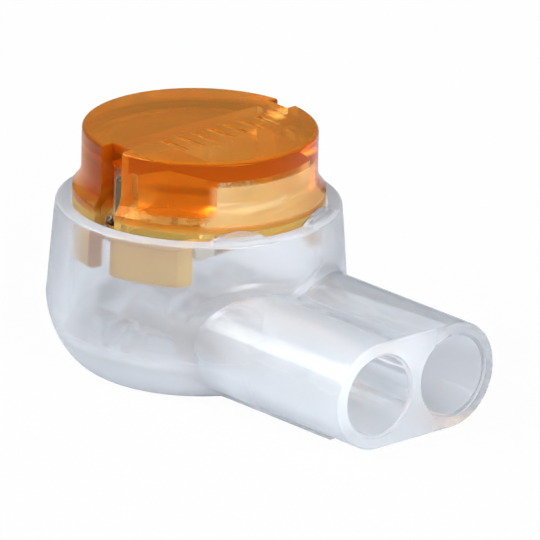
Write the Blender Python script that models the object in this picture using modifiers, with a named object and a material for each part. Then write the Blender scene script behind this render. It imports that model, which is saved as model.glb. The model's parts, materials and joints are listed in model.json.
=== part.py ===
"""A two-wire insulation piercing connector: a round clear body with a twin wire port, an amber press cap
that holds a forked contact, and the sealant in the cap.

Frame: Z is the axis of the round body and the cap's travel, +X is the way the wire ports face, and the
origin is on the underside, below the middle of the round body. Lengths are in metres.
"""

import math

import bmesh
import bpy

MM = 0.001
SEGMENTS = 96

# Round body
BODY_HEIGHT = 5.70 * MM
RIM_RADIUS = 4.80 * MM
RIM_ROUNDING = 0.14 * MM
BELLY_SWELL = 0.25 * MM
BELLY_HEIGHT = 2.40 * MM
BASE_RADIUS = 3.55 * MM
BOWL_SHAPE = 1.18
RIM_WIDTH = 0.48 * MM
BORE_CORNER = 0.30 * MM
FLOOR_THICKNESS = 1.20 * MM

# Raised tabs on the rim, one above each wire hole
TAB_HEIGHT = 0.32 * MM
TAB_LENGTH = 1.96 * MM
TAB_ANGLE = 24.0
TAB_FOOT_INSET = 0.08 * MM
TAB_ROOT_DEPTH = 0.30 * MM

# Wire bed, the island on the cavity's floor
SKIRT_GROOVE = 0.82 * MM
BED_HEIGHT = 2.00 * MM
LEG_SLOT_FLOOR = 1.40 * MM
LEG_SLOT_CLEARANCE = 0.10 * MM

# Twin wire port
PORT_REACH = 10.86 * MM
PORT_SPACING = 3.266 * MM
PORT_HEIGHT = 2.158 * MM
PORT_OUTER_RADIUS = 1.82 * MM
PORT_ROOT_FILLET = 0.45 * MM
PORT_ROOT_LEAD = 0.27 * MM
PORT_ROOT_START = 20.0
PORT_ROOT_END_GAP = 0.10 * MM
PORT_EDGE_CHAMFER = 0.06 * MM
VALLEY_DEPTH = 0.25 * MM
WIRE_MOUTH_RADIUS = 1.362 * MM
WIRE_CHANNEL_RADIUS = 1.20 * MM
WIRE_TAPER_END = 4.20 * MM
STOP_WALL = 0.90 * MM
WIRE_STOP_CONE = 0.30 * MM
WIRE_MOUTH_CHAMFER = 0.07 * MM
FOOT_REACH = 8.57 * MM
FOOT_WIDTH = 3.40 * MM
FOOT_CORNER = 0.20 * MM
FOOT_OVERLAP = 0.20 * MM

# Press cap: a thick core above its skirt, with a pocket on the wires' side and a slot for the contact
CAP_STANDS_OUT = 2.60 * MM
FLARE_WIDTH = 0.29 * MM
CAP_EDGE_FILLET = 0.15 * MM
CAP_WALL = 0.50 * MM
CAP_PLATE = 0.80 * MM
CAP_RUNNING_CLEARANCE = 0.08 * MM
FLARE_TOP = 1.19 * MM
FLARE_FOOT = 0.484 * MM
SKIRT_DEPTH = 1.70 * MM
SKIRT_WALL = 0.49 * MM
SKIRT_CHAMFER = 0.14 * MM
SKIRT_STEP_TOP = 0.40 * MM
SKIRT_STEP_FOOT = 0.10 * MM
SKIRT_WINDOW_FACE = 2.67 * MM
SKIRT_WINDOW_TOP = 0.05 * MM
KEYWAY_WIDTH = 1.00 * MM
KEYWAY_DEPTH = 0.50 * MM
POCKET_WIDTH = 3.68 * MM
CONTACT_ROOM = 0.12 * MM
CORE_STEP_IN = 0.45 * MM

# Forked contact
CONTACT_THICKNESS = 0.30 * MM
CONTACT_WIDTH = 1.30 * MM
CONTACT_BEND = 0.45 * MM
CONTACT_HEIGHT = 3.25 * MM
CONTACT_SEAT_GAP = 0.05 * MM
CONTACT_END_GAP = 0.14 * MM
TONGUE_GAP = 0.05 * MM
TONGUE_LENGTH = 0.35 * MM
TONGUE_SHY = 0.03 * MM
WIRE_SLOT_WIDTH = 0.36 * MM
WIRE_SLOT_DEPTH = 2.40 * MM
WIRE_SLOT_ENTRY = 0.50 * MM
FORK_GAP_WIDTH = 1.20 * MM
FORK_GAP_DEPTH = 2.25 * MM
FORK_TIP_CHAMFER = 0.30 * MM

# Sealant, a pad in the skirt round the forks
GEL_CLEARANCE = 0.10 * MM
GEL_DEPTH = 0.95 * MM
GEL_BELOW_RIM = 0.10 * MM

# Places that follow from the sizes above
BELLY_RADIUS = RIM_RADIUS + BELLY_SWELL
BORE_RADIUS = RIM_RADIUS - RIM_WIDTH
TAB_FOOT_RADIUS = RIM_RADIUS - TAB_FOOT_INSET
BED_RADIUS = BORE_RADIUS - SKIRT_GROOVE
WIRE_STOP = STOP_WALL - BED_RADIUS
CAP_TOP = BODY_HEIGHT + CAP_STANDS_OUT
PLATE_UNDERSIDE = CAP_TOP - CAP_PLATE
SKIRT_RADIUS = BORE_RADIUS - CAP_RUNNING_CLEARANCE
CAP_RADIUS = SKIRT_RADIUS - FLARE_WIDTH
POCKET_RADIUS = CAP_RADIUS - CAP_WALL
SKIRT_INNER = SKIRT_RADIUS - SKIRT_WALL
CORE_FOOT = BODY_HEIGHT + SKIRT_STEP_TOP
SKIRT_FOOT = BODY_HEIGHT - SKIRT_DEPTH
KEYWAY_FLOOR = CAP_RADIUS - KEYWAY_DEPTH
CONTACT_TOP = PLATE_UNDERSIDE - CONTACT_SEAT_GAP
CONTACT_TIP = CONTACT_TOP - CONTACT_HEIGHT
CONTACT_HALF_LENGTH = KEYWAY_FLOOR - TONGUE_LENGTH
SLOT_HALF_LENGTH = CONTACT_HALF_LENGTH + CONTACT_END_GAP
SLOT_HALF_WIDTH = CONTACT_WIDTH / 2 + CONTACT_ROOM
PORT_UNDERSIDE = PORT_HEIGHT - PORT_OUTER_RADIUS
BEYOND = 1.0 * MM


def collection(name):
    made = bpy.data.collections.new(name)
    bpy.context.scene.collection.children.link(made)
    return made


def material(name, color, roughness, metallic=0.0, transmission=0.0, ior=1.5):
    made = bpy.data.materials.new(name)
    made.use_nodes = True
    made.diffuse_color = color
    shader = made.node_tree.nodes["Principled BSDF"]
    shader.inputs["Base Color"].default_value = color
    shader.inputs["Roughness"].default_value = roughness
    shader.inputs["Metallic"].default_value = metallic
    shader.inputs["Transmission Weight"].default_value = transmission
    shader.inputs["IOR"].default_value = ior
    return made


def add_object(name, mesh, home):
    made = bpy.data.objects.new(name, mesh)
    home.objects.link(made)
    return made


def as_cutter(made):
    """Marks an object as a tool for a Boolean, which no render shows."""
    made.hide_render = True
    made.display_type = "WIRE"
    return made


def arc(centre_r, centre_z, radius, start, end, steps):
    """Points (r, z) on an arc about a centre, from start to end in degrees."""
    points = []
    for i in range(steps + 1):
        a = math.radians(start + (end - start) * i / steps)
        points.append((centre_r + radius * math.cos(a), centre_z + radius * math.sin(a)))
    return points


def turned(name, profile, home, segments=SEGMENTS, ring=False):
    """A solid turned about Z. The profile (r, z) starts on the axis, runs down the outside and ends on it, and
    a ring's profile is a loop clear of the axis."""
    mesh = bpy.data.meshes.new(name)
    edges = [(i, i + 1) for i in range(len(profile) - 1)]
    if ring:
        edges.append((len(profile) - 1, 0))
    mesh.from_pydata([(r, 0.0, z) for r, z in profile], edges, [])
    made = add_object(name, mesh, home)
    screw = made.modifiers.new("turn", "SCREW")
    screw.axis = "Z"
    screw.angle = 2 * math.pi
    screw.steps = segments
    screw.render_steps = segments
    screw.use_merge_vertices = True
    screw.merge_threshold = 1e-6
    screw.use_smooth_shade = True
    return made


def box(name, low, high, home):
    """A block between two corners."""
    shape = bmesh.new()
    bmesh.ops.create_cube(shape, size=1.0)
    for vert in shape.verts:
        for axis in range(3):
            vert.co[axis] = high[axis] if vert.co[axis] > 0 else low[axis]
    mesh = bpy.data.meshes.new(name)
    shape.to_mesh(mesh)
    shape.free()
    return add_object(name, mesh, home)


def v_cutter(name, half_diagonal, y, z, home):
    """A square bar along X, on its corner, centred on y and z."""
    side = half_diagonal * math.sqrt(2)
    made = box(name, (-CONTACT_WIDTH, -side / 2, -side / 2), (CONTACT_WIDTH, side / 2, side / 2), home)
    made.rotation_euler = (math.radians(45), 0.0, 0.0)
    made.location = (0.0, y, z)
    return as_cutter(made)


def combine(target, other, operation):
    boolean = target.modifiers.new(operation.lower() + " " + other.name, "BOOLEAN")
    boolean.operation = operation
    boolean.object = other
    boolean.solver = "EXACT"


def cut(target, *cutters):
    for cutter in cutters:
        combine(target, as_cutter(cutter), "DIFFERENCE")


def join(target, *others):
    for other in others:
        combine(target, as_cutter(other), "UNION")


def settle(made, finish):
    """Applies the modifiers, so that the piece has a mesh of its own with smooth rounds and crisp edges."""
    bpy.context.view_layer.update()
    evaluated = made.evaluated_get(bpy.context.evaluated_depsgraph_get())
    mesh = bpy.data.meshes.new_from_object(evaluated)
    made.modifiers.clear()
    made.data = mesh
    mesh.name = made.name
    mesh.shade_smooth()
    mesh.set_sharp_from_angle(angle=math.radians(32))
    mesh.materials.clear()
    mesh.materials.append(finish)


def body_radius(z):
    """The outside radius of the round body at height z: a slight cone down to the belly, then a bowl."""
    if z >= BELLY_HEIGHT:
        share = (BODY_HEIGHT - z) / (BODY_HEIGHT - BELLY_HEIGHT)
        return RIM_RADIUS + (BELLY_RADIUS - RIM_RADIUS) * share
    turn = math.asin(((BELLY_HEIGHT - z) / BELLY_HEIGHT) ** (1 / BOWL_SHAPE))
    return BASE_RADIUS + (BELLY_RADIUS - BASE_RADIUS) * math.cos(turn) ** BOWL_SHAPE


def body_profile():
    """The outside of the round body, from the rim's middle to the base's middle."""
    points = [(0.0, BODY_HEIGHT)]
    points += arc(RIM_RADIUS - RIM_ROUNDING, BODY_HEIGHT - RIM_ROUNDING, RIM_ROUNDING, 90, 0, 4)
    points.append((BELLY_RADIUS, BELLY_HEIGHT))
    bowl_steps = 12
    for i in range(1, bowl_steps + 1):
        turn = math.pi / 2 * i / bowl_steps
        r = BASE_RADIUS + (BELLY_RADIUS - BASE_RADIUS) * max(math.cos(turn), 0.0) ** BOWL_SHAPE
        z = BELLY_HEIGHT * (1 - math.sin(turn) ** BOWL_SHAPE)
        points.append((r, z if i < bowl_steps else 0.0))
    points.append((0.0, 0.0))
    return points


def bore_profile():
    """The round cavity that the cap slides in, with a groove for its skirt round the bed that the wires lie on."""
    corner_r = BORE_RADIUS - BORE_CORNER
    corner_z = FLOOR_THICKNESS + BORE_CORNER
    points = [(0.0, BODY_HEIGHT + BEYOND), (BORE_RADIUS, BODY_HEIGHT + BEYOND)]
    points += arc(corner_r, corner_z, BORE_CORNER, 0, -90, 4)
    points += [(BED_RADIUS, FLOOR_THICKNESS), (BED_RADIUS, BED_HEIGHT), (0.0, BED_HEIGHT)]
    return points


def port_outline(offset, valley):
    """The port's section as (y, z, flare): two round lobes side by side, flat below, with a shallow valley on
    top. The flare says how far a point takes part in the fillet at the root: not at all along the flat."""
    half = PORT_SPACING / 2
    radius = PORT_OUTER_RADIUS + offset
    lobe_steps = 16
    points = []
    for i in range(lobe_steps + 1):
        a = math.radians(-90 + 180 * i / lobe_steps)
        points.append((half + radius * math.cos(a), PORT_HEIGHT + radius * math.sin(a)))
    valley_steps = 12
    for i in range(1, valley_steps):
        y = half - 2 * half * i / valley_steps
        dip = valley * (0.5 + 0.5 * math.cos(math.pi * y / half))
        points.append((y, PORT_HEIGHT + radius - dip))
    mirrored = [(-y, z) for y, z in points[: lobe_steps + 1]]
    return points + mirrored[::-1]


def port_ring(x_of, offset_of, valley):
    """One ring of the port: x_of(y, z) places each point, and offset_of(height share) pushes it out."""
    plain = port_outline(0.0, valley)
    span = 2 * PORT_OUTER_RADIUS
    ring = []
    for i, (y, z) in enumerate(plain):
        share = min(1.0, max(0.0, 2 * (z - PORT_UNDERSIDE) / span))
        y, z = port_outline(offset_of(share * share * (3 - 2 * share)), valley)[i]
        ring.append((x_of(y, z), y, z))
    return ring


def port_mesh(name, home):
    """The twin port as a loft: a filleted root that follows the round body, then two lobes out to the mouth,
    with a valley between them that runs out at the mouth."""

    def surface_x(y, z):
        r = body_radius(min(max(z, 0.0), BODY_HEIGHT))
        return math.sqrt(max(r * r - y * y, 0.0))

    def valley_at(x):
        share = min(1.0, max(0.0, (x - BELLY_RADIUS) / (PORT_REACH - BELLY_RADIUS)))
        return VALLEY_DEPTH * (1 - share * share)

    rings = []
    inside = BELLY_RADIUS / 2
    rings.append(port_ring(lambda y, z: inside, lambda share: 0.0, VALLEY_DEPTH))
    fillet = PORT_ROOT_FILLET
    start = math.radians(PORT_ROOT_START)
    arc_steps = 6
    for i in range(-1, arc_steps + 1):
        turn = start + (math.pi / 2 - start) * max(i, 0) / arc_steps
        lead = PORT_ROOT_LEAD if i < 0 else 0.0
        out = fillet * (1 - math.cos(turn)) - lead * math.sin(start)
        push = fillet * (1 - math.sin(turn)) + lead * math.cos(start)
        rings.append(
            port_ring(
                lambda y, z, out=out: surface_x(y, z) + out,
                lambda share, push=push: push * share,
                VALLEY_DEPTH,
            )
        )
    plain_start = BELLY_RADIUS + fillet + PORT_ROOT_END_GAP
    plain_end = PORT_REACH - PORT_EDGE_CHAMFER
    plain_steps = 7
    for i in range(plain_steps + 1):
        x = plain_start + (plain_end - plain_start) * i / plain_steps
        rings.append(port_ring(lambda y, z, x=x: x, lambda share: 0.0, valley_at(x)))
    mouth = port_outline(-PORT_EDGE_CHAMFER, 0.0)
    rings.append([(PORT_REACH, y, z) for y, z in mouth])

    shape = bmesh.new()
    rows = [[shape.verts.new(point) for point in ring] for ring in rings]
    count = len(rows[0])
    for near, far in zip(rows, rows[1:]):
        for i in range(count):
            j = (i + 1) % count
            shape.faces.new((near[i], near[j], far[j], far[i]))
    shape.faces.new(rows[0][::-1])
    shape.faces.new(rows[-1])
    bmesh.ops.recalc_face_normals(shape, faces=shape.faces)
    mesh = bpy.data.meshes.new(name)
    shape.to_mesh(mesh)
    shape.free()
    return add_object(name, mesh, home)


def wire_hole(name, y, home):
    """One wire hole: a chamfered mouth, a slight taper, then the channel across the floor to its stop."""
    at_mouth = PORT_REACH - WIRE_MOUTH_CHAMFER
    profile = [
        (0.0, PORT_REACH + BEYOND),
        (WIRE_MOUTH_RADIUS + WIRE_MOUTH_CHAMFER + BEYOND, PORT_REACH + BEYOND),
        (WIRE_MOUTH_RADIUS, at_mouth),
        (WIRE_CHANNEL_RADIUS, WIRE_TAPER_END),
        (WIRE_CHANNEL_RADIUS, WIRE_STOP),
        (0.0, WIRE_STOP - WIRE_STOP_CONE),
    ]
    made = turned(name, profile, home, segments=48)
    made.rotation_euler = (0.0, math.radians(90), 0.0)
    made.location = (0.0, y, PORT_HEIGHT)
    return made


def foot(name, home):
    """The flat foot under the port, level with the base."""
    made = box(
        name,
        (0.0, -FOOT_WIDTH / 2, 0.0),
        (FOOT_REACH, FOOT_WIDTH / 2, PORT_UNDERSIDE + FOOT_OVERLAP),
        home,
    )
    shape = bmesh.new()
    shape.from_mesh(made.data)
    corners = [
        edge
        for edge in shape.edges
        if all(vert.co.x > FOOT_REACH / 2 for vert in edge.verts)
        and abs(edge.verts[0].co.z - edge.verts[1].co.z) > FOOT_OVERLAP
    ]
    bmesh.ops.bevel(
        shape, geom=corners, offset=FOOT_CORNER, segments=4, profile=0.5, affect="EDGES", clamp_overlap=True
    )
    shape.to_mesh(made.data)
    shape.free()
    return made


def rim_tab(name, angle, tools):
    """A low arched tab on the rim: a ring with a sloping top, kept where a round bar along a radius meets it."""
    slope = TAB_HEIGHT / (TAB_FOOT_RADIUS - BORE_RADIUS)
    inner = BORE_RADIUS - TAB_ROOT_DEPTH
    low = BODY_HEIGHT - TAB_ROOT_DEPTH
    profile = [
        (inner, BODY_HEIGHT + slope * (TAB_FOOT_RADIUS - inner)),
        (TAB_FOOT_RADIUS, BODY_HEIGHT),
        (TAB_FOOT_RADIUS, low),
        (inner, low),
    ]
    tab = turned(name, profile, tools, ring=True)
    arch_radius = ((TAB_LENGTH / 2) ** 2 + TAB_HEIGHT**2) / (2 * TAB_HEIGHT)
    shape = bmesh.new()
    bmesh.ops.create_cone(
        shape, cap_ends=True, segments=SEGMENTS, radius1=arch_radius, radius2=arch_radius, depth=4 * TAB_HEIGHT
    )
    mesh = bpy.data.meshes.new(name + "_arch")
    shape.to_mesh(mesh)
    shape.free()
    arch = add_object(name + "_arch", mesh, tools)
    turn = math.radians(angle)
    middle = (inner + TAB_FOOT_RADIUS) / 2
    arch.rotation_euler = (0.0, math.radians(90), turn)
    arch.location = (
        middle * math.cos(turn),
        middle * math.sin(turn),
        BODY_HEIGHT + TAB_HEIGHT - arch_radius,
    )
    combine(tab, as_cutter(arch), "INTERSECT")
    return tab


def make_body(home, tools, finish):
    body = turned("body", body_profile(), home)
    join(body, port_mesh("port_blank", tools), foot("foot_blank", tools))
    for side, name in ((-1, "left"), (1, "right")):
        join(body, rim_tab("rim_tab_" + name, side * TAB_ANGLE, tools))
    cut(body, turned("bore_cutter", bore_profile(), tools))
    slot_out = CONTACT_WIDTH / 2 + LEG_SLOT_CLEARANCE
    slot_in = CONTACT_WIDTH / 2 - CONTACT_THICKNESS - LEG_SLOT_CLEARANCE
    past = BED_RADIUS + BORE_CORNER / 2
    for side, name in ((-1, "back"), (1, "front")):
        low_x, high_x = sorted((side * slot_in, side * slot_out))
        low, high = (low_x, -past, LEG_SLOT_FLOOR), (high_x, past, BED_HEIGHT + BEYOND)
        cut(body, box("leg_slot_" + name, low, high, tools))
    for side, name in ((-1, "left"), (1, "right")):
        cut(body, wire_hole("wire_hole_" + name, side * PORT_SPACING / 2, tools))
    settle(body, finish)
    return body


def cap_profile():
    """The cap from the middle of its top, down the outside and up the skirt to the underside of its core."""
    flare_wide = FLARE_WIDTH
    flare_tall = FLARE_TOP - FLARE_FOOT
    flare_radius = (flare_wide**2 + flare_tall**2) / (2 * flare_wide)
    flare_turn = math.degrees(math.asin(flare_tall / flare_radius))
    edge = CAP_EDGE_FILLET
    points = [(0.0, CAP_TOP)]
    points += arc(CAP_RADIUS - edge, CAP_TOP - edge, edge, 90, 0, 4)
    points += arc(CAP_RADIUS + flare_radius, BODY_HEIGHT + FLARE_TOP, flare_radius, 180, 180 + flare_turn, 5)
    points += [
        (SKIRT_RADIUS, SKIRT_FOOT + SKIRT_CHAMFER),
        (SKIRT_RADIUS - SKIRT_CHAMFER, SKIRT_FOOT),
        (SKIRT_INNER, SKIRT_FOOT),
        (SKIRT_INNER, BODY_HEIGHT + SKIRT_STEP_FOOT),
        (SKIRT_INNER - CORE_STEP_IN, CORE_FOOT),
        (0.0, CORE_FOOT),
    ]
    return points


def make_cap(home, tools, finish):
    cap = turned("cap", cap_profile(), home)
    below = SKIRT_FOOT - BEYOND
    above = CAP_TOP + BEYOND
    past = SKIRT_RADIUS + BEYOND
    core_below = CORE_FOOT - BEYOND
    pocket_profile = [(0.0, PLATE_UNDERSIDE), (POCKET_RADIUS, PLATE_UNDERSIDE), (POCKET_RADIUS, core_below)]
    pocket = turned("pocket", pocket_profile + [(0.0, core_below)], tools)
    low, high = (0.0, -POCKET_WIDTH / 2, core_below - BEYOND), (past, POCKET_WIDTH / 2, above)
    combine(pocket, as_cutter(box("pocket_side", low, high, tools)), "INTERSECT")
    cut(cap, pocket)
    low = (-SLOT_HALF_WIDTH, -SLOT_HALF_LENGTH, core_below)
    cut(cap, box("contact_slot", low, (SLOT_HALF_WIDTH, SLOT_HALF_LENGTH, PLATE_UNDERSIDE), tools))
    window_top = BODY_HEIGHT - SKIRT_WINDOW_TOP
    cut(cap, box("skirt_window", (SKIRT_WINDOW_FACE, -past, below), (past, past, window_top), tools))
    half = KEYWAY_WIDTH / 2
    for side, name in ((-1, "left"), (1, "right")):
        near, far = sorted((side * KEYWAY_FLOOR, side * past))
        cut(cap, box("keyway_" + name, (-half, near, below), (half, far, above), tools))
        near, far = sorted((side * SLOT_HALF_LENGTH / 2, side * (KEYWAY_FLOOR + KEYWAY_DEPTH / 2)))
        low = (-half, near, CORE_FOOT - BEYOND)
        cut(cap, box("contact_window_" + name, low, (half, far, PLATE_UNDERSIDE), tools))
    settle(cap, finish)
    return cap


def contact_section():
    """The bent strip's section as (x, z), open downward."""
    half = CONTACT_WIDTH / 2
    inner = CONTACT_BEND - CONTACT_THICKNESS
    outside = [(half, CONTACT_TIP)]
    outside += arc(half - CONTACT_BEND, CONTACT_TOP - CONTACT_BEND, CONTACT_BEND, 0, 90, 5)
    inside = arc(half - CONTACT_BEND, CONTACT_TOP - CONTACT_BEND, inner, 90, 0, 5)
    inside.append((half - CONTACT_THICKNESS, CONTACT_TIP))
    right = outside, inside
    left = [[(-x, z) for x, z in reversed(run)] for run in right]
    return right[0] + left[0] + left[1] + right[1]


def extruded_outline(name, points, half_length, home):
    """A flat outline in the XZ plane, extruded along Y to both sides, as a closed mesh."""
    curve = bpy.data.curves.new(name, "CURVE")
    curve.dimensions = "2D"
    curve.fill_mode = "BOTH"
    curve.extrude = half_length
    spline = curve.splines.new("POLY")
    spline.points.add(len(points) - 1)
    for slot, (x, z) in zip(spline.points, points):
        slot.co = (x, z, 0.0, 1.0)
    spline.use_cyclic_u = True
    flat = bpy.data.objects.new(name + "_outline", curve)
    home.objects.link(flat)
    flat.rotation_euler = (math.radians(90), 0.0, 0.0)
    bpy.context.view_layer.update()
    mesh = bpy.data.meshes.new_from_object(flat.evaluated_get(bpy.context.evaluated_depsgraph_get()))
    shape = bmesh.new()
    shape.from_mesh(mesh)
    bmesh.ops.transform(shape, matrix=flat.matrix_world, verts=shape.verts)
    bmesh.ops.remove_doubles(shape, verts=shape.verts, dist=1e-7)
    bmesh.ops.recalc_face_normals(shape, faces=shape.faces)
    shape.to_mesh(mesh)
    shape.free()
    bpy.data.objects.remove(flat)
    return add_object(name, mesh, home)


def make_contact(home, tools, finish):
    """A bent strip with two forks on each leg, one for each wire, and a tongue at each end of its web."""
    reach = KEYWAY_FLOOR - TONGUE_SHY
    contact = extruded_outline("contact", contact_section(), reach, home)
    wide = CONTACT_WIDTH
    below = CONTACT_TIP - BEYOND
    tongue_half = KEYWAY_WIDTH / 2 - TONGUE_GAP
    for y_side in (-1, 1):
        near, far = sorted((y_side * CONTACT_HALF_LENGTH, y_side * (reach + BEYOND)))
        for x_side in (-1, 1):
            low_x, high_x = sorted((x_side * tongue_half, x_side * wide))
            name = f"end_cutter_{'left' if y_side < 0 else 'right'}_{'back' if x_side < 0 else 'front'}"
            cut(contact, box(name, (low_x, near, below), (high_x, far, CONTACT_TOP + BEYOND), tools))
    half_gap = FORK_GAP_WIDTH / 2
    gap_top = CONTACT_TIP + FORK_GAP_DEPTH
    cut(contact, box("fork_gap", (-wide, -half_gap, below), (wide, half_gap, gap_top), tools))
    half_slot = WIRE_SLOT_WIDTH / 2
    slot_top = CONTACT_TIP + WIRE_SLOT_DEPTH
    for side, name in ((-1, "left"), (1, "right")):
        y = side * PORT_SPACING / 2
        low, high = (-wide, y - half_slot, below), (wide, y + half_slot, slot_top)
        cut(contact, box("wire_slot_" + name, low, high, tools))
        cut(contact, v_cutter("slot_entry_" + name, WIRE_SLOT_ENTRY, y, CONTACT_TIP, tools))
        for edge, place in ((half_gap, "inner"), (CONTACT_HALF_LENGTH, "outer")):
            tip_name = f"fork_tip_{name}_{place}"
            cut(contact, v_cutter(tip_name, FORK_TIP_CHAMFER, side * edge, CONTACT_TIP, tools))
    settle(contact, finish)
    return contact


def make_gel(home, tools, finish):
    """The pad of sealant inside the cap's skirt, with room for the contact's forks."""
    radius = SKIRT_INNER - GEL_CLEARANCE
    top = BODY_HEIGHT - GEL_BELOW_RIM
    foot_z = BODY_HEIGHT - GEL_DEPTH
    profile = [(0.0, top), (radius, top), (radius, foot_z), (0.0, foot_z)]
    gel = turned("sealant_gel", profile, home)
    past = radius + BEYOND
    below, above = foot_z - BEYOND, top + BEYOND
    cut(gel, box("window_face", (SKIRT_WINDOW_FACE, -past, below), (past, past, above), tools))
    leg_out = CONTACT_WIDTH / 2 + GEL_CLEARANCE
    leg_in = CONTACT_WIDTH / 2 - CONTACT_THICKNESS - GEL_CLEARANCE
    fork_in = FORK_GAP_WIDTH / 2 - GEL_CLEARANCE
    for x_side, x_name in ((-1, "back"), (1, "front")):
        low_x, high_x = sorted((x_side * leg_in, x_side * leg_out))
        for y_side, y_name in ((-1, "left"), (1, "right")):
            low_y, high_y = sorted((y_side * fork_in, y_side * past))
            fork_name = f"fork_room_{x_name}_{y_name}"
            cut(gel, box(fork_name, (low_x, low_y, below), (high_x, high_y, above), tools))
    settle(gel, finish)
    return gel


def main():
    for old in list(bpy.data.objects):
        bpy.data.objects.remove(old)
    home = collection("insulation_piercing_connector")
    tools = collection("cutters")

    milky = material("clear_polypropylene", (0.80, 0.83, 0.88, 1.0), 0.22, transmission=0.85, ior=1.49)
    amber = material("amber_polycarbonate", (0.90, 0.42, 0.05, 1.0), 0.06, transmission=0.95, ior=1.58)
    tin = material("tinned_brass", (0.72, 0.68, 0.60, 1.0), 0.28, metallic=1.0)
    jelly = material("sealant", (0.93, 0.93, 0.90, 1.0), 0.10, transmission=0.95, ior=1.41)

    make_body(home, tools, milky)
    moving = [
        make_cap(home, tools, amber),
        make_contact(home, tools, tin),
        make_gel(home, tools, jelly),
    ]
    cap_axis = bpy.data.objects.new("cap_press", None)
    cap_axis.empty_display_size = SKIRT_RADIUS
    home.objects.link(cap_axis)
    for piece in moving:
        piece.parent = cap_axis


main()
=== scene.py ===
import json
import math

import bmesh
import bpy
from mathutils import Matrix, Vector

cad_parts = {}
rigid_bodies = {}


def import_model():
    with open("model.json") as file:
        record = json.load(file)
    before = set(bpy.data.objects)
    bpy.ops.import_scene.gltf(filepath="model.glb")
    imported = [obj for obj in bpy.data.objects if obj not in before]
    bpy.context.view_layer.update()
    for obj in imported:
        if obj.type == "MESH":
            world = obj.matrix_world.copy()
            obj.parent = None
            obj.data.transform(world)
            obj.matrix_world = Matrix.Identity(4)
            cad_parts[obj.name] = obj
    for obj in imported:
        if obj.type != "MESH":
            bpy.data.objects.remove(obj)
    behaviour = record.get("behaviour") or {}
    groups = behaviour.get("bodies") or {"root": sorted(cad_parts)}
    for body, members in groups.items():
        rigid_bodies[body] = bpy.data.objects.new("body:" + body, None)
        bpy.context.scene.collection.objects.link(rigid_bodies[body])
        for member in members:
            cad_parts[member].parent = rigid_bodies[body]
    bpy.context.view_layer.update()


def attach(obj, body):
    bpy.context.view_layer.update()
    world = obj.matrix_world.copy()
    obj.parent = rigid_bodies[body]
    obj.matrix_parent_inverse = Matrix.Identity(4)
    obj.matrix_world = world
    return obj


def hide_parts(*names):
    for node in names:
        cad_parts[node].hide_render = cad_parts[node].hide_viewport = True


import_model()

MM = 0.001
FINE = 192
HOLE_SEGMENTS = 96
SHARP_ANGLE = 30.0
BEVEL_ANGLE = 40.0

# Sizes of the object in mm, most of them the same as the solids'
BODY_HEIGHT = 5.70
RIM_RADIUS = 4.80
RIM_ROUNDING = 0.14
BELLY_RADIUS = 5.05
BELLY_HEIGHT = 2.40
BASE_RADIUS = 3.55
BOWL_SHAPE = 1.18
BORE_RADIUS = 4.32
BORE_FILLET = 0.30
FLOOR_THICKNESS = 1.20
TAB_HEIGHT = 0.32
TAB_LENGTH = 1.96
TAB_ANGLE = 24.0
TAB_FOOT_RADIUS = 4.72
TAB_OVERLAP = 0.30
TAB_ARCH_LENGTH = 1.40
BED_RADIUS = 3.50
BED_HEIGHT = 2.00
LEG_SLOT_FLOOR = 1.40
LEG_SLOT_HALF_LENGTH = 3.65
PORT_REACH = 10.86
PORT_SPACING = 3.266
PORT_HEIGHT = 2.158
PORT_OUTER_RADIUS = 1.82
PORT_ROOT_FILLET = 0.45
PORT_ROOT_TURN = 20.0
PORT_ROOT_LEAD = 0.27
PORT_EDGE_ROUNDING = 0.07
VALLEY_DEPTH = 0.25
WIRE_MOUTH_RADIUS = 1.362
WIRE_MOUTH_ROUNDING = 0.10
WIRE_CHANNEL_RADIUS = 1.20
WIRE_TAPER_END = 4.20
WIRE_STOP = -2.60
WIRE_STOP_CONE = 0.30
FOOT_REACH = 8.57
FOOT_WIDTH = 3.40
FOOT_OVERLAP = 0.20
CAP_TOP = 8.30
CAP_RADIUS = 3.95
CAP_EDGE_FILLET = 0.15
CAP_TOP_RING = 2.60
POCKET_RADIUS = 3.45
POCKET_WIDTH = 3.68
PLATE_UNDERSIDE = 7.50
CORE_FOOT = 6.10
CORE_STEP_IN = 0.45
STEP_FOOT = 5.80
SLOT_HALF_LENGTH = 3.24
SLOT_HALF_WIDTH = 0.77
SKIRT_RADIUS = 4.24
SKIRT_INNER = 3.75
SKIRT_FOOT = 4.00
SKIRT_CHAMFER = 0.14
FLARE_TOP = 1.19
FLARE_FOOT = 0.484
KEYWAY_WIDTH = 1.00
KEYWAY_FLOOR = 3.45
CONTACT_WINDOW_START = 1.62
CONTACT_WINDOW_OVERLAP = 0.25
WINDOW_FACE = 2.67
WINDOW_BELOW_RIM = 0.05
CONTACT_TOP = 7.45
CONTACT_TIP = 4.20
CONTACT_WIDTH = 1.30
CONTACT_THICKNESS = 0.30
CONTACT_BEND = 0.45
CONTACT_HALF_LENGTH = 3.10
CONTACT_ROUNDING = 0.03
TONGUE_END_GAP = 0.03
TONGUE_SIDE_GAP = 0.05
WIRE_SLOT_WIDTH = 0.36
WIRE_SLOT_DEPTH = 2.40
FORK_GAP_WIDTH = 1.20
FORK_GAP_DEPTH = 2.25
FORK_TIP_CHAMFER = 0.30
FORK_ENTRY = 0.50
LEG_SLOT_CLEARANCE = 0.10
MARK_COUNT = 7
MARK_PITCH = 0.68
MARK_LENGTH = 1.15
MARK_WIDTH = 0.24
MARK_DEPTH = 0.05
MARK_X = 1.05
GEL_TOP = 5.60
GEL_FOOT = 4.75
GEL_CLEARANCE = 0.05
GEL_TOP_CHAMFER = (0.20, 0.10)
GEL_FOOT_CHAMFER = 0.15
PORT_UNDERSIDE = PORT_HEIGHT - PORT_OUTER_RADIUS

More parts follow.
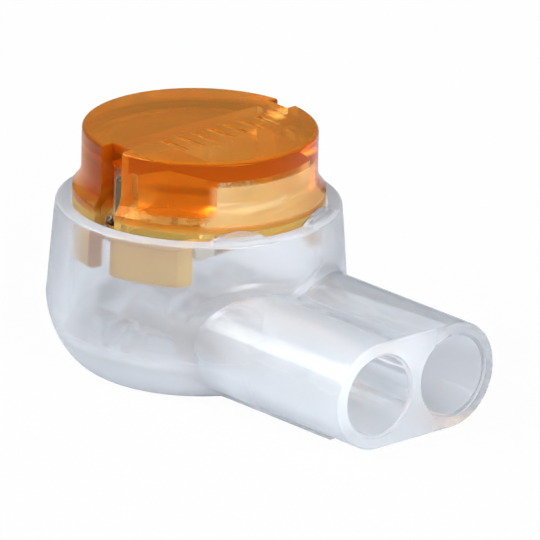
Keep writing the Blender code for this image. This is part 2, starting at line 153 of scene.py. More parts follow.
# How far the cutting solids reach, in mm
PAST = 1.0
CUT_FOOT = 5.10
CUT_LOW = 3.0
CUT_HIGH = 9.0
CUT_REACH = 5.5
CUT_SIDE = 2.0


def collection(name):
    made = bpy.data.collections.new(name)
    bpy.context.scene.collection.children.link(made)
    return made


pieces = collection("pieces")
tools = collection("tools")


def add_object(name, mesh, home=pieces):
    made = bpy.data.objects.new(name, mesh)
    home.objects.link(made)
    return made


def mesh_of(name, shape):
    """A Blender mesh in metres from a bmesh in millimetres."""
    bmesh.ops.scale(shape, vec=(MM, MM, MM), verts=shape.verts)
    mesh = bpy.data.meshes.new(name)
    shape.to_mesh(mesh)
    shape.free()
    return mesh


def arc(centre_r, centre_z, radius, start, end, steps):
    points = []
    for i in range(steps + 1):
        a = math.radians(start + (end - start) * i / steps)
        points.append((centre_r + radius * math.cos(a), centre_z + radius * math.sin(a)))
    return points


def turned(name, profile, home, segments=FINE, ring=False):
    """A solid turned about Z from a profile (r, z), in mm, that runs down the outside."""
    shape = bmesh.new()
    rows = []
    for r, z in profile:
        if r < 1e-9:
            rows.append([shape.verts.new((0.0, 0.0, z))])
            continue
        turns = [2 * math.pi * i / segments for i in range(segments)]
        rows.append([shape.verts.new((r * math.cos(a), r * math.sin(a), z)) for a in turns])
    pairs = list(zip(rows, rows[1:]))
    if ring:
        pairs.append((rows[-1], rows[0]))
    for upper, lower in pairs:
        for i in range(segments):
            j = (i + 1) % segments
            if len(upper) == 1:
                shape.faces.new((upper[0], lower[i], lower[j]))
            elif len(lower) == 1:
                shape.faces.new((upper[i], lower[0], upper[j]))
            else:
                shape.faces.new((upper[i], lower[i], lower[j], upper[j]))
    bmesh.ops.recalc_face_normals(shape, faces=shape.faces)
    return add_object(name, mesh_of(name, shape), home)


def box(name, low, high):
    """A cutting box between two corners."""
    shape = bmesh.new()
    bmesh.ops.create_cube(shape, size=1.0)
    for vert in shape.verts:
        for axis in range(3):
            vert.co[axis] = high[axis] if vert.co[axis] > 0 else low[axis]
    return add_object(name, mesh_of(name, shape), tools)


def bar(name, radius, length):
    """A round cutting bar along X, centred on the origin."""
    shape = bmesh.new()
    bmesh.ops.create_cone(
        shape, cap_ends=True, segments=FINE, radius1=radius, radius2=radius, depth=length
    )
    bmesh.ops.rotate(shape, matrix=Matrix.Rotation(math.pi / 2, 3, "Y"), verts=shape.verts)
    return add_object(name, mesh_of(name, shape), tools)


def combine(target, other, operation):
    boolean = target.modifiers.new("boolean", "BOOLEAN")
    boolean.operation = operation
    boolean.object = other
    boolean.solver = "EXACT"


def settle(made):
    """Applies the modifiers, then shades smooth with crisp edges and flat faces left flat."""
    bpy.context.view_layer.update()
    evaluated = made.evaluated_get(bpy.context.evaluated_depsgraph_get())
    mesh = bpy.data.meshes.new_from_object(evaluated)
    made.modifiers.clear()
    made.data = mesh
    mesh.name = made.name
    mesh.shade_smooth()
    mesh.set_sharp_from_angle(angle=math.radians(SHARP_ANGLE))
    weighted = made.modifiers.new("flat_faces", "WEIGHTED_NORMAL")
    weighted.keep_sharp = True
    weighted.weight = 60


def round_edges(made, width):
    bevel = made.modifiers.new("edges", "BEVEL")
    bevel.width = width * MM
    bevel.segments = 2
    bevel.limit_method = "ANGLE"
    bevel.angle_limit = math.radians(BEVEL_ANGLE)
    bevel.use_clamp_overlap = True


def drop_tools():
    for tool in list(tools.objects):
        bpy.data.objects.remove(tool)


# The round body with its twin port


def body_radius(z):
    if z >= BELLY_HEIGHT:
        share = (BODY_HEIGHT - z) / (BODY_HEIGHT - BELLY_HEIGHT)
        return RIM_RADIUS + (BELLY_RADIUS - RIM_RADIUS) * share
    turn = math.asin(((BELLY_HEIGHT - max(z, 0.0)) / BELLY_HEIGHT) ** (1 / BOWL_SHAPE))
    return BASE_RADIUS + (BELLY_RADIUS - BASE_RADIUS) * math.cos(turn) ** BOWL_SHAPE


def body_profile():
    points = [(0.0, BODY_HEIGHT)]
    points += arc(RIM_RADIUS - RIM_ROUNDING, BODY_HEIGHT - RIM_ROUNDING, RIM_ROUNDING, 90, 0, 6)
    for i in range(1, 9):
        z = BODY_HEIGHT - RIM_ROUNDING - (BODY_HEIGHT - RIM_ROUNDING - BELLY_HEIGHT) * i / 8
        points.append((body_radius(z), z))
    steps = 28
    for i in range(1, steps + 1):
        turn = math.pi / 2 * i / steps
        r = BASE_RADIUS + (BELLY_RADIUS - BASE_RADIUS) * max(math.cos(turn), 0.0) ** BOWL_SHAPE
        z = BELLY_HEIGHT * (1 - math.sin(turn) ** BOWL_SHAPE)
        points.append((r, z if i < steps else 0.0))
    points.append((0.0, 0.0))
    return points


def port_outline(offset, valley):
    """The port's outline (y, z): two lobes with a valley between them on top."""
    half = PORT_SPACING / 2
    radius = PORT_OUTER_RADIUS + offset
    lobe_steps = 36
    points = []
    for i in range(lobe_steps + 1):
        a = math.radians(-90 + 180 * i / lobe_steps)
        points.append((half + radius * math.cos(a), PORT_HEIGHT + radius * math.sin(a)))
    valley_steps = 28
    for i in range(1, valley_steps):
        y = half - 2 * half * i / valley_steps
        dip = valley * (0.5 + 0.5 * math.cos(math.pi * y / half))
        points.append((y, PORT_HEIGHT + radius - dip))
    mirrored = [(-y, z) for y, z in points[: lobe_steps + 1]]
    return points + mirrored[::-1]


def port_ring(x_of, offset_of, valley):
    """A ring of the port whose offset fades out towards its flat underside."""
    plain = port_outline(0.0, valley)
    ring = []
    for i, (y, z) in enumerate(plain):
        share = min(1.0, max(0.0, (z - PORT_UNDERSIDE) / PORT_OUTER_RADIUS))
        y, z = port_outline(offset_of(share * share * (3 - 2 * share)), valley)[i]
        ring.append((x_of(y, z), y, z))
    return ring


def port_mesh(name):
    """The twin port as a loft from a filleted root to the two lobes' mouth."""

    def surface_x(y, z):
        r = body_radius(min(max(z, 0.0), BODY_HEIGHT))
        return math.sqrt(max(r * r - y * y, 0.0))

    def valley_at(x):
        share = min(1.0, max(0.0, (x - BELLY_RADIUS) / (PORT_REACH - BELLY_RADIUS)))
        return VALLEY_DEPTH * (1 - share * share)

    rings = [port_ring(lambda y, z: BELLY_RADIUS / 2, lambda share: 0.0, VALLEY_DEPTH)]
    fillet = PORT_ROOT_FILLET
    start = math.radians(PORT_ROOT_TURN)
    steps = 12
    for i in range(-1, steps + 1):
        turn = start + (math.pi / 2 - start) * max(i, 0) / steps
        lead = PORT_ROOT_LEAD if i < 0 else 0.0
        out = fillet * (1 - math.cos(turn)) - lead * math.sin(start)
        push = fillet * (1 - math.sin(turn)) + lead * math.cos(start)
        rings.append(
            port_ring(
                lambda y, z, out=out: surface_x(y, z) + out,
                lambda share, push=push: push * share,
                VALLEY_DEPTH,
            )
        )
    start_x = BELLY_RADIUS + fillet + 0.1
    edge = PORT_EDGE_ROUNDING
    for i in range(25):
        x = start_x + (PORT_REACH - edge - start_x) * i / 24
        rings.append(port_ring(lambda y, z, x=x: x, lambda share: 0.0, valley_at(x)))
    for i in range(1, 5):
        turn = math.pi / 2 * i / 4
        inset = edge * (1 - math.cos(turn))
        x = PORT_REACH - edge + edge * math.sin(turn)
        rings.append([(x, y, z) for y, z in port_outline(-inset, 0.0)])

    shape = bmesh.new()
    rows = [[shape.verts.new(point) for point in ring] for ring in rings]
    count = len(rows[0])
    for near, far in zip(rows, rows[1:]):
        for i in range(count):
            j = (i + 1) % count
            shape.faces.new((near[i], near[j], far[j], far[i]))
    shape.faces.new(rows[0][::-1])
    shape.faces.new(rows[-1])
    bmesh.ops.recalc_face_normals(shape, faces=shape.faces)
    return add_object(name, mesh_of(name, shape), tools)


def wire_hole(name, y):
    """A wire hole with a rounded mouth, running from the port's end to its stop."""
    rounding = WIRE_MOUTH_ROUNDING
    wide = WIRE_MOUTH_RADIUS + rounding
    profile = [(0.0, PORT_REACH + PAST), (wide, PORT_REACH + PAST)]
    for turn in [math.pi / 2 * i / 5 for i in range(6)]:
        r = wide - rounding * (1 - math.cos(turn))
        profile.append((r, PORT_REACH - rounding * math.sin(turn)))
    profile += [
        (WIRE_CHANNEL_RADIUS, WIRE_TAPER_END),
        (WIRE_CHANNEL_RADIUS, WIRE_STOP),
        (0.0, WIRE_STOP - WIRE_STOP_CONE),
    ]
    made = turned(name, profile, tools, segments=HOLE_SEGMENTS)
    made.rotation_euler = (0.0, math.radians(90), 0.0)
    made.location = (0.0, y * MM, PORT_HEIGHT * MM)
    return made


def rim_tab(name, angle):
    """A low arch on the rim that slopes in towards the cap."""
    slope = TAB_HEIGHT / (TAB_FOOT_RADIUS - BORE_RADIUS)
    inner = BORE_RADIUS - TAB_OVERLAP
    low = BODY_HEIGHT - TAB_OVERLAP
    profile = [
        (inner, BODY_HEIGHT + slope * (TAB_FOOT_RADIUS - inner)),
        (TAB_FOOT_RADIUS, BODY_HEIGHT),
        (TAB_FOOT_RADIUS, low),
        (inner, low),
    ]
    tab = turned(name, profile, tools, ring=True)
    arch_radius = ((TAB_LENGTH / 2) ** 2 + TAB_HEIGHT**2) / (2 * TAB_HEIGHT)
    arch = bar(name + "_arch", arch_radius, TAB_ARCH_LENGTH)
    turn = math.radians(angle)
    middle = (inner + TAB_FOOT_RADIUS) / 2
    arch.rotation_euler = (0.0, 0.0, turn)
    arch.location = (
        middle * math.cos(turn) * MM,
        middle * math.sin(turn) * MM,
        (BODY_HEIGHT + TAB_HEIGHT - arch_radius) * MM,
    )
    combine(tab, arch, "INTERSECT")
    return tab


def make_body():
    body = turned("connector_body", body_profile(), pieces)
    combine(body, port_mesh("port_blank"), "UNION")
    low = (0.0, -FOOT_WIDTH / 2, 0.0)
    high = (FOOT_REACH, FOOT_WIDTH / 2, PORT_UNDERSIDE + FOOT_OVERLAP)
    foot = box("foot_blank", low, high)
    combine(body, foot, "UNION")
    for side, name in ((-1, "left"), (1, "right")):
        combine(body, rim_tab("rim_tab_" + name, side * TAB_ANGLE), "UNION")
    bore = [(0.0, BODY_HEIGHT + PAST), (BORE_RADIUS, BODY_HEIGHT + PAST)]
    bore += arc(BORE_RADIUS - BORE_FILLET, FLOOR_THICKNESS + BORE_FILLET, BORE_FILLET, 0, -90, 6)
    bore += [(BED_RADIUS, FLOOR_THICKNESS), (BED_RADIUS, BED_HEIGHT), (0.0, BED_HEIGHT)]
    combine(body, turned("bore_cutter", bore, tools), "DIFFERENCE")
    for side, name in ((-1, "back"), (1, "front")):
        slot_in = CONTACT_WIDTH / 2 - CONTACT_THICKNESS - LEG_SLOT_CLEARANCE
        slot_out = CONTACT_WIDTH / 2 + LEG_SLOT_CLEARANCE
        low_x, high_x = sorted((side * slot_in, side * slot_out))
        low = (low_x, -LEG_SLOT_HALF_LENGTH, LEG_SLOT_FLOOR)
        high = (high_x, LEG_SLOT_HALF_LENGTH, BED_HEIGHT + PAST)
        slot = box("leg_slot_" + name, low, high)
        combine(body, slot, "DIFFERENCE")
    for side, name in ((-1, "left"), (1, "right")):
        combine(body, wire_hole("wire_hole_" + name, side * PORT_SPACING / 2), "DIFFERENCE")
    settle(body)
    drop_tools()
    return body


# The press cap


def top_marks(cap):
    """A row of plain grooves across the top, in the place of the moulded lettering."""
    for i in range(MARK_COUNT):
        y = MARK_PITCH * (i - (MARK_COUNT - 1) / 2)
        low = (MARK_X - MARK_LENGTH / 2, y - MARK_WIDTH / 2, CAP_TOP - MARK_DEPTH)
        high = (MARK_X + MARK_LENGTH / 2, y + MARK_WIDTH / 2, CAP_TOP + PAST)
        combine(cap, box(f"mark_{i}", low, high), "DIFFERENCE")


def make_cap():
    wide = SKIRT_RADIUS - CAP_RADIUS
    tall = FLARE_TOP - FLARE_FOOT
    flare = (wide**2 + tall**2) / (2 * wide)
    flare_turn = math.degrees(math.asin(tall / flare))
    edge = CAP_EDGE_FILLET
    profile = [(0.0, CAP_TOP), (CAP_TOP_RING, CAP_TOP)]
    profile += arc(CAP_RADIUS - edge, CAP_TOP - edge, edge, 90, 0, 8)
    profile += arc(CAP_RADIUS + flare, BODY_HEIGHT + FLARE_TOP, flare, 180, 180 + flare_turn, 12)
    profile += [
        (SKIRT_RADIUS, SKIRT_FOOT + SKIRT_CHAMFER),
        (SKIRT_RADIUS - SKIRT_CHAMFER, SKIRT_FOOT),
        (SKIRT_INNER, SKIRT_FOOT),
        (SKIRT_INNER, STEP_FOOT),
        (SKIRT_INNER - CORE_STEP_IN, CORE_FOOT),
        (0.0, CORE_FOOT),
    ]
    cap = turned("press_cap", profile, pieces)
    pocket_profile = [(0.0, PLATE_UNDERSIDE), (POCKET_RADIUS, PLATE_UNDERSIDE)]
    pocket_profile += [(POCKET_RADIUS, CUT_FOOT), (0.0, CUT_FOOT)]
    pocket = turned("pocket", pocket_profile, tools)
    half = POCKET_WIDTH / 2
    side = box("pocket_side", (0.0, -half, CUT_LOW), (CUT_REACH, half, CUT_HIGH))
    combine(pocket, side, "INTERSECT")
    combine(cap, pocket, "DIFFERENCE")
    low = (-SLOT_HALF_WIDTH, -SLOT_HALF_LENGTH, CUT_FOOT)
    high = (SLOT_HALF_WIDTH, SLOT_HALF_LENGTH, PLATE_UNDERSIDE)
    combine(cap, box("contact_slot", low, high), "DIFFERENCE")
    low = (WINDOW_FACE, -CUT_REACH, CUT_LOW)
    high = (CUT_REACH, CUT_REACH, BODY_HEIGHT - WINDOW_BELOW_RIM)
    combine(cap, box("skirt_window", low, high), "DIFFERENCE")
    half = KEYWAY_WIDTH / 2
    for side, name in ((-1, "left"), (1, "right")):
        near, far = sorted((side * KEYWAY_FLOOR, side * CUT_REACH))
        low, high = (-half, near, CUT_LOW), (half, far, CAP_TOP + PAST)
        combine(cap, box("keyway_" + name, low, high), "DIFFERENCE")
        window_end = KEYWAY_FLOOR + CONTACT_WINDOW_OVERLAP
        near, far = sorted((side * CONTACT_WINDOW_START, side * window_end))
        low, high = (-half, near, CUT_FOOT), (half, far, PLATE_UNDERSIDE)
        combine(cap, box("contact_window_" + name, low, high), "DIFFERENCE")
    top_marks(cap)
    settle(cap)
    drop_tools()
    return cap


# The contact and the sealant


def contact_strip():
    """The bent strip, extruded along Y from its section (x, z)."""
    half = CONTACT_WIDTH / 2
    inner = CONTACT_BEND - CONTACT_THICKNESS
    outside = [(half, CONTACT_TIP)]
    outside += arc(half - CONTACT_BEND, CONTACT_TOP - CONTACT_BEND, CONTACT_BEND, 0, 90, 8)
    inside = arc(half - CONTACT_BEND, CONTACT_TOP - CONTACT_BEND, inner, 90, 0, 8)
    inside.append((half - CONTACT_THICKNESS, CONTACT_TIP))
    loop = outside + [(-x, z) for x, z in reversed(outside)]
    loop += [(-x, z) for x, z in reversed(inside)] + inside
    reach = KEYWAY_FLOOR - TONGUE_END_GAP
    shape = bmesh.new()
    near = [shape.verts.new((x, -reach, z)) for x, z in loop]
    far = [shape.verts.new((x, reach, z)) for x, z in loop]
    shape.faces.new(near)
    shape.faces.new(far[::-1])
    for i in range(len(loop)):
        j = (i + 1) % len(loop)
        shape.faces.new((near[i], far[i], far[j], near[j]))
    bmesh.ops.recalc_face_normals(shape, faces=shape.faces)
    return add_object("forked_contact", mesh_of("forked_contact", shape))


def on_corner(name, half_diagonal, y, z):
    """A cutting box that stands on its corner, for the forks' slanted ends."""
    side = half_diagonal * math.sqrt(2)
    made = box(name, (-CUT_SIDE, -side / 2, -side / 2), (CUT_SIDE, side / 2, side / 2))
    made.rotation_euler = (math.radians(45), 0.0, 0.0)
    made.location = (0.0, y * MM, z * MM)
    return made


def make_contact():
    contact = contact_strip()
    body_end = CONTACT_HALF_LENGTH
    tongue = KEYWAY_WIDTH / 2 - TONGUE_SIDE_GAP
    for y_side in (-1, 1):
        near, far = sorted((y_side * body_end, y_side * CUT_REACH))
        for x_side in (-1, 1):
            low_x, high_x = sorted((x_side * tongue, x_side * CUT_SIDE))
            low, high = (low_x, near, CUT_LOW), (high_x, far, CUT_HIGH)
            combine(contact, box("end", low, high), "DIFFERENCE")
    low = (-CUT_SIDE, -FORK_GAP_WIDTH / 2, CUT_LOW)
    high = (CUT_SIDE, FORK_GAP_WIDTH / 2, CONTACT_TIP + FORK_GAP_DEPTH)
    combine(contact, box("fork_gap", low, high), "DIFFERENCE")
    for side in (-1, 1):
        y = side * PORT_SPACING / 2
        low = (-CUT_SIDE, y - WIRE_SLOT_WIDTH / 2, CUT_LOW)
        high = (CUT_SIDE, y + WIRE_SLOT_WIDTH / 2, CONTACT_TIP + WIRE_SLOT_DEPTH)
        combine(contact, box("wire_slot", low, high), "DIFFERENCE")
        combine(contact, on_corner("entry", FORK_ENTRY, y, CONTACT_TIP), "DIFFERENCE")
        for edge in (FORK_GAP_WIDTH / 2, body_end):
            tip = on_corner("tip", FORK_TIP_CHAMFER, side * edge, CONTACT_TIP)
            combine(contact, tip, "DIFFERENCE")
    round_edges(contact, CONTACT_ROUNDING)
    settle(contact)
    drop_tools()
    return contact


def make_gel():
    """The pad of sealant in the skirt, with room for the forks."""
    radius = SKIRT_INNER - GEL_CLEARANCE
    inset, drop = GEL_TOP_CHAMFER
    profile = [(0.0, GEL_TOP), (radius - inset, GEL_TOP), (radius, GEL_TOP - drop)]
    profile += [(radius, GEL_FOOT + GEL_FOOT_CHAMFER), (radius - GEL_FOOT_CHAMFER, GEL_FOOT)]
    profile.append((0.0, GEL_FOOT))
    gel = turned("clear_sealant", profile, pieces)
    low, high = (WINDOW_FACE, -CUT_REACH, CUT_LOW), (CUT_REACH, CUT_REACH, CUT_HIGH)
    combine(gel, box("window_face", low, high), "DIFFERENCE")
    leg_out = CONTACT_WIDTH / 2 + GEL_CLEARANCE
    leg_in = CONTACT_WIDTH / 2 - CONTACT_THICKNESS - GEL_CLEARANCE
    fork_in = FORK_GAP_WIDTH / 2 - GEL_CLEARANCE
    for x_side in (-1, 1):
        low_x, high_x = sorted((x_side * leg_in, x_side * leg_out))
        for y_side in (-1, 1):
            low_y, high_y = sorted((y_side * fork_in, y_side * CUT_REACH))
            low, high = (low_x, low_y, CUT_LOW), (high_x, high_y, CUT_HIGH)
            combine(gel, box("fork_room", low, high), "DIFFERENCE")
    settle(gel)
    drop_tools()
    return gel


# Materials


def material(name):
    made = bpy.data.materials.new(name)
    made.use_nodes = True
    return made, made.node_tree.nodes, made.node_tree.links


def noise(nodes, links, scale, detail=4.0):
    place = nodes.new("ShaderNodeTexCoord")
    texture = nodes.new("ShaderNodeTexNoise")
    texture.inputs["Scale"].default_value = scale
    texture.inputs["Detail"].default_value = detail
    links.new(place.outputs["Object"], texture.inputs["Vector"])
    return texture


def spread(nodes, links, value, low, high):
    """Maps the middle of a noise's range to the range low to high."""
    scaled = nodes.new("ShaderNodeMapRange")
    scaled.inputs["To Min"].default_value = low
    scaled.inputs["To Max"].default_value = high
    scaled.inputs["From Min"].default_value = 0.3
    scaled.inputs["From Max"].default_value = 0.7
    links.new(value, scaled.inputs["Value"])
    return scaled.outputs["Result"]


def bump(nodes, links, height, strength, distance):
    made = nodes.new("ShaderNodeBump")
    made.inputs["Strength"].default_value = strength
    made.inputs["Distance"].default_value = distance * MM
    links.new(height, made.inputs["Height"])
    return made.outputs["Normal"]


UP, DOWN = (0.0, 0.0, 1.0), (0.0, 0.0, -1.0)
PORTWARD, BACKWARD, SIDEWARD = (1.0, 0.0, 0.0), (-1.0, 0.0, 0.0), (0.0, -1.0, 0.0)
OUTWARD = "outward"
CLOUD_SHARE = 0.4


def reach_along(nodes, links, way, start, end):
    """A soft step from 0 to 1 between two places along a direction, or out from the axis, in mm."""
    place = nodes.new("ShaderNodeTexCoord")
    along = nodes.new("ShaderNodeVectorMath")
    if way == OUTWARD:
        level = nodes.new("ShaderNodeVectorMath")
        level.operation = "MULTIPLY"
        level.inputs[1].default_value = (1.0, 1.0, 0.0)
        links.new(place.outputs["Object"], level.inputs[0])
        along.operation = "LENGTH"
        links.new(level.outputs[0], along.inputs[0])
    else:
        along.operation = "DOT_PRODUCT"
        along.inputs[1].default_value = way
        links.new(place.outputs["Object"], along.inputs[0])
    step = nodes.new("ShaderNodeMapRange")
    step.interpolation_type = "SMOOTHSTEP"
    step.inputs["From Min"].default_value = start * MM
    step.inputs["From Max"].default_value = end * MM
    links.new(along.outputs["Value"], step.inputs["Value"])
    return step.outputs["Result"]


def soften(made, steps, shares, tones):
    """Mixes in scattered light, whose share and tone change where all the steps are passed; a share
    raised on one side or face to lighten it is painted light.
    """
    nodes, links = made.node_tree.nodes, made.node_tree.links
    passed = reach_along(nodes, links, *steps[0])
    for step in steps[1:]:
        both = nodes.new("ShaderNodeMath")
        both.operation = "MULTIPLY"
        links.new(passed, both.inputs[0])
        links.new(reach_along(nodes, links, *step), both.inputs[1])
        passed = both.outputs[0]
    tone = nodes.new("ShaderNodeMix")
    tone.data_type = "RGBA"
    tone.inputs[6].default_value = (*tones[0], 1.0)
    tone.inputs[7].default_value = (*tones[1], 1.0)
    links.new(passed, tone.inputs[0])
    share = nodes.new("ShaderNodeMapRange")
    share.inputs["To Min"].default_value = shares[0]
    share.inputs["To Max"].default_value = shares[1]
    links.new(passed, share.inputs["Value"])
    skin = nodes.new("ShaderNodeBsdfDiffuse")
    cloud = nodes.new("ShaderNodeBsdfTranslucent")
    links.new(tone.outputs[2], skin.inputs["Color"])
    links.new(tone.outputs[2], cloud.inputs["Color"])
    scattered = nodes.new("ShaderNodeMixShader")
    scattered.inputs[0].default_value = CLOUD_SHARE
    links.new(skin.outputs[0], scattered.inputs[1])
    links.new(cloud.outputs[0], scattered.inputs[2])
    mix = nodes.new("ShaderNodeMixShader")
    shown = nodes["Material Output"].inputs["Surface"]
    links.new(share.outputs["Result"], mix.inputs[0])
    links.new(shown.links[0].from_socket, mix.inputs[1])
    links.new(scattered.outputs[0], mix.inputs[2])
    links.new(mix.outputs[0], shown)


def tint(made, step, color):
    """Gives what shines through another tint past a step."""
    nodes, links = made.node_tree.nodes, made.node_tree.links
    shown = nodes["Principled BSDF"].inputs["Base Color"]
    mix = nodes.new("ShaderNodeMix")
    mix.data_type = "RGBA"
    mix.inputs[6].default_value = shown.default_value
    mix.inputs[7].default_value = (*color, 1.0)
    links.new(reach_along(nodes, links, *step), mix.inputs[0])
    links.new(mix.outputs[2], shown)


def see_through(name, color, rough, ior, density, absorb, ripple, shine=0.5, gloss=(1.0, 1.0, 1.0)):
    """A see-through plastic with its colour in the volume, faint flow marks and uneven gloss."""
    made, nodes, links = material(name)
    shader = nodes["Principled BSDF"]
    shader.inputs["Base Color"].default_value = (*color, 1.0)
    shader.inputs["Transmission Weight"].default_value = 1.0
    shader.inputs["IOR"].default_value = ior
    shader.inputs["Specular IOR Level"].default_value = shine
    shader.inputs["Specular Tint"].default_value = (*gloss, 1.0)
    fine = noise(nodes, links, 900.0)
    uneven = spread(nodes, links, fine.outputs["Fac"], rough * 0.8, rough * 1.25)
    links.new(uneven, shader.inputs["Roughness"])
    flow = noise(nodes, links, 260.0, 2.0)
    links.new(bump(nodes, links, flow.outputs["Fac"], ripple, 0.05), shader.inputs["Normal"])
    inside = nodes.new("ShaderNodeVolumeAbsorption")
    inside.inputs["Color"].default_value = (*absorb, 1.0)
    inside.inputs["Density"].default_value = density
    links.new(inside.outputs["Volume"], nodes["Material Output"].inputs["Volume"])
    return made


def tinned_metal():
    made, nodes, links = material("tinned_metal")
    shader = nodes["Principled BSDF"]
    shader.inputs["Metallic"].default_value = 1.0
    stain = noise(nodes, links, 700.0)
    ramp = nodes.new("ShaderNodeMix")
    ramp.data_type = "RGBA"
    ramp.inputs[6].default_value = (0.70, 0.66, 0.58, 1.0)
    ramp.inputs[7].default_value = (0.82, 0.79, 0.72, 1.0)
    links.new(stain.outputs["Fac"], ramp.inputs[0])
    links.new(ramp.outputs[2], shader.inputs["Base Color"])
    links.new(spread(nodes, links, stain.outputs["Fac"], 0.22, 0.36), shader.inputs["Roughness"])
    rolled = noise(nodes, links, 5000.0)
    links.new(bump(nodes, links, rolled.outputs["Fac"], 0.15, 0.01), shader.inputs["Normal"])
    return made


def dress(piece, finish, node, body):
    piece.data.materials.clear()
    piece.data.materials.append(finish)
    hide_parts(node)
    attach(piece, body)


FROST = ((0.90, 0.93, 0.97), (0.90, 0.93, 0.96))
# The next tone paints a reflection on the cap's thin wall
PALE_PAINTED_REFLECTION = (0.93, 0.74, 0.34)
GOLD = (0.78, 0.63, 0.18)
SKIRT_GOLD = (0.82, 0.46, 0.0)
DEEP = (0.88, 0.30, 0.01)
# The next tone paints light on the cap's top and the back of its core
ORANGE_PAINTED_LIGHT = (1.0, 0.46, 0.03)

# Where each plastic scatters light, much of it painted light that lightens a side or a face: the
# steps, the share before and past them, and its tones
BODY_SCATTER_AND_PAINTED_LIGHT = (
    # The port, most of all on its -Y side, the side the light falls on: painted light that makes
    # that side lighter
    ([(PORTWARD, 3.4, 6.2), (SIDEWARD, -2.6, 0.4)], (0.08, 0.26), FROST),
    # The rim's flat top: painted light that makes the upward face lighter
    ([(UP, 5.56, 5.68), (DOWN, -5.85, -5.72)], (0.0, 0.26), FROST),
    # The foot of the bowl, but not the port: painted light that lifts the shade under the bowl
    ([(DOWN, -2.4, -0.5), (BACKWARD, -6.5, -5.0)], (0.0, 0.50), FROST),
    # The port's end face
    ([(PORTWARD, 10.74, 10.85)], (0.0, 0.08), FROST),
)
CAP_SCATTER_AND_PAINTED_LIGHT = (
    # Gold in the skirt, deep in the core
    ([(UP, 5.85, 6.25)], (0.28, 0.12), (GOLD, DEEP)),
    # The thin wall in front of the pocket: a pale patch that is painted reflection, in place of the
    # bright fork seen through the wall
    (
        [(OUTWARD, 3.5, 3.7), (PORTWARD, 3.1, 3.35), (UP, 6.0, 6.2), (DOWN, -7.5, -7.4)],
        (0.0, 0.30),
        (PALE_PAINTED_REFLECTION, PALE_PAINTED_REFLECTION),
    ),
    # The skirt inside the body
    ([(DOWN, -5.5, -5.2)], (0.0, 0.14), (SKIRT_GOLD, SKIRT_GOLD)),
    # The flat top: painted light, scattered orange in place of light that comes up through the core
    ([(UP, 8.2, 8.29)], (0.0, 0.20), (ORANGE_PAINTED_LIGHT, ORANGE_PAINTED_LIGHT)),
    # The back of the core: painted light, scattered orange that lightens the top seen through it
    (
        [(BACKWARD, 0.9, 2.4), (UP, 6.0, 6.4), (DOWN, -8.25, -8.15)],
        (0.0, 0.20),
        (ORANGE_PAINTED_LIGHT, ORANGE_PAINTED_LIGHT),
    ),
)

milky = see_through(
    "clear_body", (0.98, 0.985, 0.99), 0.16, 1.40, 20.0, (0.80, 0.92, 1.0), 0.10, shine=0.25
)
for cloud in BODY_SCATTER_AND_PAINTED_LIGHT:
    soften(milky, *cloud)
amber = see_through(
    "amber_cap",
    (1.0, 0.99, 0.96),
    0.09,
    1.50,
    1300.0,
    (0.92, 0.61, 0.0),
    0.05,
    shine=0.3,
    gloss=(1.0, 0.50, 0.10),
)
for cloud in CAP_SCATTER_AND_PAINTED_LIGHT:
    soften(amber, *cloud)
tint(amber, (DOWN, -5.5, -5.2), (0.90, 0.64, 0.12))
jelly = see_through("sealant", (0.98, 0.98, 0.95), 0.03, 1.41, 60.0, (1.0, 0.95, 0.7), 0.10)

dress(make_body(), milky, "body", "body")
dress(make_cap(), amber, "cap", "cap")
dress(make_contact(), tinned_metal(), "contact", "cap")
dress(make_gel(), jelly, "sealant_gel", "cap")


# Floor, light and camera

BACKDROP_WAY = (-0.70, 0.64, 0.30)
SKY_STRENGTH = 1.12
FLOOR_COLOR = (0.42, 0.45, 0.50)
FLOOR_REACH = 1500.0
FLOOR_DROP = 0.02
FLOOR_WHITE = 0.97
GLOSS_SHARE = 0.10
CLEAR_SHARE = 0.12
BOUNCES = 24

# The camera: its turn about Z, lift and roll in degrees, its aim from the rim's middle in mm,
# its lens in mm and its distance in m
CAMERA_TURN, CAMERA_LIFT, CAMERA_ROLL = 47.51, 19.56, 1.368
AIM_RIGHT, AIM_DOWN = 2.374, 2.384
CAMERA_LENS = 799.4
CAMERA_DISTANCE = 0.4


def shown_white(nodes, links, path, share):
    """How white the background is to the camera, and in part to gloss and clear plastic."""
    parts = {
        "Is Camera Ray": share,
        "Is Glossy Ray": GLOSS_SHARE,
        "Is Transmission Ray": CLEAR_SHARE,
    }
    total = None
    for ray, part in parts.items():
        term = nodes.new("ShaderNodeMath")
        term.operation = "MULTIPLY_ADD"
        term.inputs[1].default_value = part
        term.inputs[2].default_value = 0.0
        links.new(path.outputs[ray], term.inputs[0])
        if total:
            links.new(total, term.inputs[2])
        total = term.outputs[0]
    return total


def floor():
    """A plain pale floor, white to the camera but for a trace of the object's shadow."""
    shape = bmesh.new()
    bmesh.ops.create_grid(shape, x_segments=8, y_segments=8, size=FLOOR_REACH)
    made = add_object("floor", mesh_of("floor", shape), bpy.context.scene.collection)
    made.location.z = -FLOOR_DROP * MM
    finish, nodes, links = material("pale_floor")
    shader = nodes["Principled BSDF"]
    shader.inputs["Base Color"].default_value = (*FLOOR_COLOR, 1.0)
    shader.inputs["Roughness"].default_value = 0.9
    seen = nodes.new("ShaderNodeEmission")
    seen.inputs["Color"].default_value = (1.0, 1.0, 1.0, 1.0)
    path = nodes.new("ShaderNodeLightPath")
    mix = nodes.new("ShaderNodeMixShader")
    links.new(shown_white(nodes, links, path, FLOOR_WHITE), mix.inputs[0])
    links.new(shader.outputs[0], mix.inputs[1])
    links.new(seen.outputs[0], mix.inputs[2])
    links.new(mix.outputs[0], nodes["Material Output"].inputs["Surface"])
    made.data.materials.append(finish)


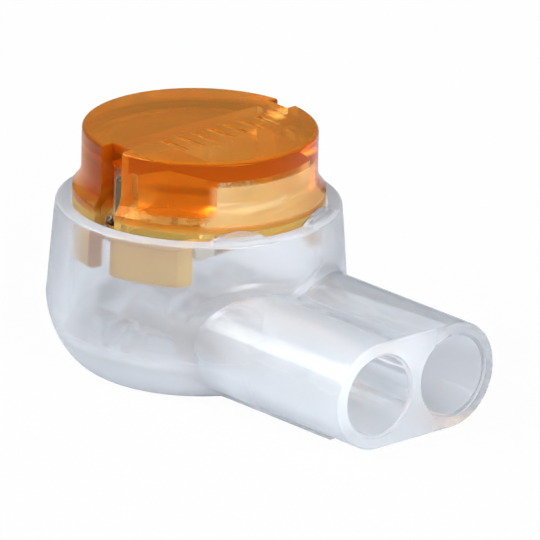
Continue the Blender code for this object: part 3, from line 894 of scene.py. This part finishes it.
def sky():
    """A plain soft sky, bright in front of the object, grey behind it, white to the camera."""
    world = bpy.data.worlds.new("studio")
    bpy.context.scene.world = world
    world.use_nodes = True
    nodes, links = world.node_tree.nodes, world.node_tree.links
    plain = nodes["Background"]
    place = nodes.new("ShaderNodeTexCoord")
    along = nodes.new("ShaderNodeVectorMath")
    along.operation = "DOT_PRODUCT"
    along.inputs[1].default_value = BACKDROP_WAY
    links.new(place.outputs["Generated"], along.inputs[0])
    ramp = nodes.new("ShaderNodeValToRGB")
    stops = ramp.color_ramp.elements
    stops[0].position, stops[0].color = 0.0, (0.97, 0.98, 1.0, 1.0)
    stops[1].position, stops[1].color = 0.90, (0.06, 0.07, 0.09, 1.0)
    middle = stops.new(0.50)
    middle.color = (0.43, 0.47, 0.55, 1.0)
    scaled = nodes.new("ShaderNodeMapRange")
    scaled.inputs["From Min"].default_value = -0.4
    scaled.inputs["From Max"].default_value = 1.0
    links.new(along.outputs["Value"], scaled.inputs["Value"])
    links.new(scaled.outputs["Result"], ramp.inputs[0])
    links.new(ramp.outputs["Color"], plain.inputs["Color"])
    plain.inputs["Strength"].default_value = SKY_STRENGTH
    white = nodes.new("ShaderNodeBackground")
    white.inputs["Color"].default_value = (1.0, 1.0, 1.0, 1.0)
    path = nodes.new("ShaderNodeLightPath")
    mix = nodes.new("ShaderNodeMixShader")
    links.new(shown_white(nodes, links, path, 1.0), mix.inputs[0])
    links.new(plain.outputs[0], mix.inputs[1])
    links.new(white.outputs[0], mix.inputs[2])
    links.new(mix.outputs[0], nodes["World Output"].inputs["Surface"])


def softbox(name, place, width, height, power, mirrored=True):
    """An area lamp that faces the object, and may stay out of its reflections."""
    data = bpy.data.lights.new(name, "AREA")
    data.shape = "RECTANGLE"
    data.size = width
    data.size_y = height
    data.energy = power
    made = bpy.data.objects.new(name, data)
    bpy.context.scene.collection.objects.link(made)
    made.location = place
    made.visible_glossy = mirrored
    target = Vector((0.002, 0.0, 0.004))
    made.rotation_euler = (target - Vector(place)).to_track_quat("-Z", "Y").to_euler()


def camera():
    """The photograph's long lens, from in front of the holes and a little above."""
    turn, lift, roll = (math.radians(a) for a in (CAMERA_TURN, CAMERA_LIFT, CAMERA_ROLL))
    level = math.cos(lift)
    back = Vector((math.sin(turn) * level, -math.cos(turn) * level, math.sin(lift)))
    right = Vector((math.cos(turn), math.sin(turn), 0.0))
    up = back.cross(right)
    cos, sin = math.cos(roll), math.sin(roll)
    right, up = right * cos + up * sin, up * cos - right * sin
    target = Vector((0.0, 0.0, BODY_HEIGHT * MM))
    target += AIM_RIGHT * MM * right - AIM_DOWN * MM * up
    data = bpy.data.cameras.new("camera")
    data.lens = CAMERA_LENS
    data.sensor_width = 36.0
    data.clip_start, data.clip_end = 0.01, 10.0
    made = bpy.data.objects.new("camera", data)
    bpy.context.scene.collection.objects.link(made)
    spot = target + back * CAMERA_DISTANCE
    made.matrix_world = Matrix(
        (
            (right.x, up.x, back.x, spot.x),
            (right.y, up.y, back.y, spot.y),
            (right.z, up.z, back.z, spot.z),
            (0.0, 0.0, 0.0, 1.0),
        )
    )
    bpy.context.scene.camera = made


floor()
sky()
softbox("key", (-0.15, -0.25, 0.21), 0.30, 0.20, 1.5)
softbox("fill", (0.30, -0.04, 0.10), 0.18, 0.14, 1.6, mirrored=False)
camera()

scene = bpy.context.scene
scene.view_settings.view_transform = "Standard"
scene.cycles.max_bounces = BOUNCES
scene.cycles.transmission_bounces = BOUNCES
scene.cycles.transparent_max_bounces = BOUNCES
scene.cycles.glossy_bounces = 8
